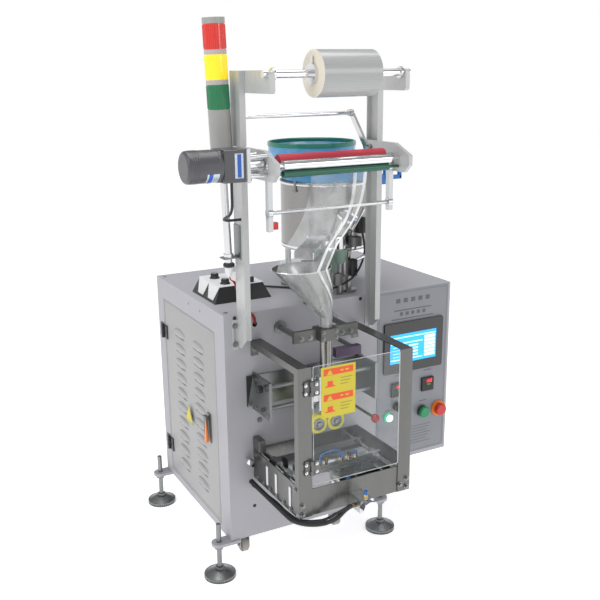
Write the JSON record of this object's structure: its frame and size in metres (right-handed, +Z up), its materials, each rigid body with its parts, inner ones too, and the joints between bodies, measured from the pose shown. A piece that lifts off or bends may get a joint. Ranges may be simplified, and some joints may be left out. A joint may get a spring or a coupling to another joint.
{
  "type": "vertical form fill sealer",
  "caption": "Upright pouch packing machine: sheet-metal cabinet with film frame and rollers above, dosing hopper behind, guarded sealing jaws and forming tube in front.",
  "frame": {"origin": "on the floor under the middle of the machine's outline", "axes": "+Z up, +X to the machine's right, -Y towards the operator"},
  "size_m": [1.003, 1.018, 1.7112],
  "materials": {
    "grey_paint": "fine textured paint",
    "door_paint": "fine textured paint",
    "zinc": "zinc plated",
    "stainless": "brushed",
    "polished": "polished",
    "white_alloy": "satin",
    "red_rubber": "matte",
    "yellow_ring": "matte",
    "black_plastic": "matte",
    "black_paint": "satin",
    "panel_paint": "satin",
    "screen": "gloss",
    "tower_grey": "satin",
    "tower_lens": "clear",
    "white_box": "satin",
    "blue_tint": "translucent",
    "green_paint": "satin",
    "film_white": "satin",
    "acrylic": "clear",
    "button_green": "gloss",
    "button_red": "gloss",
    "button_lamp": "gloss",
    "aluminium": "anodised",
    "caster_rubber": "matte"
  },
  "bodies": {
    "machine": {"cabinet_shell": "grey_paint", "caster_forks": "zinc", "columns": "white_alloy", "reel_brackets": "white_alloy", "roller_plates": "white_alloy", "motor_mount": "aluminium", "gearbox": "black_paint", "feed_motor": "black_paint", "control_box": "grey_paint", "control_panel": "panel_paint", "touchscreen": "screen", "temperature_meters": "black_plastic", "tower_bracket": "zinc", "tower_body": "tower_grey", "tower_lenses": "tower_lens", "feeder_controller": "white_box", "hopper_drum": "stainless", "hopper_shell": "blue_tint", "hopper_stand": "stainless", "disc_motor": "green_paint", "feed_chute": "stainless", "forming_funnel": "stainless", "tube_bracket": "black_paint", "guard_frame": "stainless", "sealing_box": "stainless", "air_cylinder": "aluminium", "seal_frame": "zinc", "main_drive": "black_paint", "cables": "black_plastic"},
    "side_door": {"side_door": "door_paint"},
    "door_latch": {"door_latch": "black_plastic"},
    "guard_door": {"guard_door": "acrylic"},
    "drive_roller": {"drive_roller": "red_rubber"},
    "pinch_roller": {"pinch_roller": "polished"},
    "guide_arm": {"guide_arm": "polished"},
    "dancer_arm": {"dancer_arm": "aluminium"},
    "metering_disc": {"metering_disc": "stainless"},
    "seal_bar_left": {"seal_bar_left": "aluminium"},
    "seal_bar_right": {"seal_bar_right": "aluminium"},
    "pull_wheel_left": {"pull_wheel_left": "yellow_ring"},
    "pull_wheel_right": {"pull_wheel_right": "yellow_ring"},
    "jaw_front": {"jaw_front": "aluminium"},
    "jaw_back": {"jaw_back": "aluminium"},
    "release_lever": {"release_lever": "button_red"},
    "start_button": {"start_button": "button_green"},
    "stop_button": {"stop_button": "button_red"},
    "lamp_button": {"lamp_button": "button_lamp"},
    "selector_switch": {"selector_switch": "black_plastic"},
    "controller_knob_1": {"controller_knob_1": "black_plastic"},
    "controller_knob_2": {"controller_knob_2": "black_plastic"},
    "foot_1": {"foot_1": "zinc"},
    "foot_2": {"foot_2": "zinc"},
    "foot_3": {"foot_3": "zinc"},
    "foot_4": {"foot_4": "zinc"},
    "caster_wheel_1": {"caster_wheel_1": "caster_rubber"},
    "caster_wheel_2": {"caster_wheel_2": "caster_rubber"},
    "caster_wheel_3": {"caster_wheel_3": "caster_rubber"},
    "caster_wheel_4": {"caster_wheel_4": "caster_rubber"},
    "reel": {"reel_shaft": "polished", "film_roll": "film_white"}
  },
  "joints": [
    {"name": "side_door_hinge", "type": "hinge", "parent": "machine", "child": "side_door", "pos_m": [-0.3435, 0.422, 0.475], "axis": [0, 0, -1], "range_deg": [0, 110]},
    {"name": "door_latch_turn", "type": "hinge", "parent": "side_door", "child": "door_latch", "pos_m": [-0.3435, 0.02, 0.496], "axis": [1, 0, 0], "range_deg": [0, 90]},
    {"name": "guard_door_hinge", "type": "hinge", "parent": "machine", "child": "guard_door", "pos_m": [-0.2105, -0.435, 0.606], "axis": [0, 0, -1], "range_deg": [0, 110]},
    {"name": "reel_turn", "type": "hinge", "parent": "machine", "child": "reel", "pos_m": [-0.0595, -0.321, 1.562], "axis": [1, 0, 0], "continuous": true},
    {"name": "drive_roller_turn", "type": "hinge", "parent": "machine", "child": "drive_roller", "pos_m": [-0.0595, -0.284, 1.333], "axis": [1, 0, 0], "continuous": true},
    {"name": "pinch_roller_turn", "type": "hinge", "parent": "machine", "child": "pinch_roller", "pos_m": [-0.0595, -0.31735, 1.32591], "axis": [1, 0, 0], "continuous": true},
    {"name": "guide_arm_swing", "type": "hinge", "parent": "machine", "child": "guide_arm", "pos_m": [-0.0595, -0.146, 1.35], "axis": [1, 0, 0], "range_deg": [-20, 12]},
    {"name": "dancer_swing", "type": "hinge", "parent": "machine", "child": "dancer_arm", "pos_m": [-0.0595, -0.282, 1.3], "axis": [1, 0, 0], "range_deg": [-25, 20]},
    {"name": "metering_disc_turn", "type": "hinge", "parent": "machine", "child": "metering_disc", "pos_m": [0.1285, 0.076, 1.072], "axis": [0, 0, 1], "continuous": true},
    {"name": "seal_bar_right_close", "type": "slide", "parent": "machine", "child": "seal_bar_right", "axis": [-1, 0, 0], "range_m": [0, 0.0095]},
    {"name": "seal_bar_left_close", "type": "slide", "parent": "machine", "child": "seal_bar_left", "axis": [1, 0, 0], "range_m": [0, 0.0095]},
    {"name": "pull_wheel_left_turn", "type": "hinge", "parent": "machine", "child": "pull_wheel_left", "pos_m": [-0.0903, -0.247, 0.525], "axis": [0, 1, 0], "continuous": true},
    {"name": "pull_wheel_right_turn", "type": "hinge", "parent": "machine", "child": "pull_wheel_right", "pos_m": [-0.0287, -0.247, 0.525], "axis": [0, 1, 0], "continuous": true},
    {"name": "jaw_front_close", "type": "slide", "parent": "machine", "child": "jaw_front", "axis": [0, 1, 0], "range_m": [0, 0.0135]},
    {"name": "jaw_back_close", "type": "slide", "parent": "machine", "child": "jaw_back", "axis": [0, -1, 0], "range_m": [0, 0.0135]},
    {"name": "release_lever_swing", "type": "hinge", "parent": "machine", "child": "release_lever", "pos_m": [0.0585, -0.186, 0.547], "axis": [1, 0, 0], "range_deg": [-15, 20]},
    {"name": "start_button_press", "type": "slide", "parent": "machine", "child": "start_button", "axis": [0, 1, 0], "range_m": [0, 0.004], "stiffness_N_per_m": 400},
    {"name": "stop_button_press", "type": "slide", "parent": "machine", "child": "stop_button", "axis": [0, 1, 0], "range_m": [0, 0.005], "stiffness_N_per_m": 400},
    {"name": "lamp_button_press", "type": "slide", "parent": "machine", "child": "lamp_button", "axis": [0, 1, 0], "range_m": [0, 0.003], "stiffness_N_per_m": 400},
    {"name": "selector_turn", "type": "hinge", "parent": "machine", "child": "selector_switch", "pos_m": [0.2885, -0.124, 0.462], "axis": [0, 1, 0], "range_deg": [-45, 45]},
    {"name": "controller_knob_1_turn", "type": "hinge", "parent": "machine", "child": "controller_knob_1", "pos_m": [-0.2535, 0.138, 0.923], "axis": [0, 0, 1], "range_deg": [-135, 135]},
    {"name": "controller_knob_2_turn", "type": "hinge", "parent": "machine", "child": "controller_knob_2", "pos_m": [-0.2535, 0.052, 0.923], "axis": [0, 0, 1], "range_deg": [-135, 135]},
    {"name": "foot_1_level", "type": "slide", "parent": "machine", "child": "foot_1", "axis": [0, 0, 1], "range_m": [-0.03, 0]},
    {"name": "foot_2_level", "type": "slide", "parent": "machine", "child": "foot_2", "axis": [0, 0, 1], "range_m": [-0.03, 0]},
    {"name": "foot_3_level", "type": "slide", "parent": "machine", "child": "foot_3", "axis": [0, 0, 1], "range_m": [-0.03, 0]},
    {"name": "foot_4_level", "type": "slide", "parent": "machine", "child": "foot_4", "axis": [0, 0, 1], "range_m": [-0.03, 0]},
    {"name": "caster_wheel_1_roll", "type": "hinge", "parent": "machine", "child": "caster_wheel_1", "pos_m": [-0.2755, -0.076, 0.072], "axis": [1, 0, 0], "continuous": true},
    {"name": "caster_wheel_2_roll", "type": "hinge", "parent": "machine", "child": "caster_wheel_2", "pos_m": [-0.2755, 0.428, 0.072], "axis": [1, 0, 0], "continuous": true},
    {"name": "caster_wheel_3_roll", "type": "hinge", "parent": "machine", "child": "caster_wheel_3", "pos_m": [0.0725, -0.076, 0.072], "axis": [1, 0, 0], "continuous": true},
    {"name": "caster_wheel_4_roll", "type": "hinge", "parent": "machine", "child": "caster_wheel_4", "pos_m": [0.0725, 0.428, 0.072], "axis": [1, 0, 0], "continuous": true}
  ],
  "couplings": [
    {"joint": "pinch_roller_turn", "follows": "drive_roller_turn", "ratio": -1.4815},
    {"joint": "seal_bar_left_close", "follows": "seal_bar_right_close", "ratio": 1},
    {"joint": "pull_wheel_right_turn", "follows": "pull_wheel_left_turn", "ratio": -1},
    {"joint": "jaw_back_close", "follows": "jaw_front_close", "ratio": 1}
  ]
}
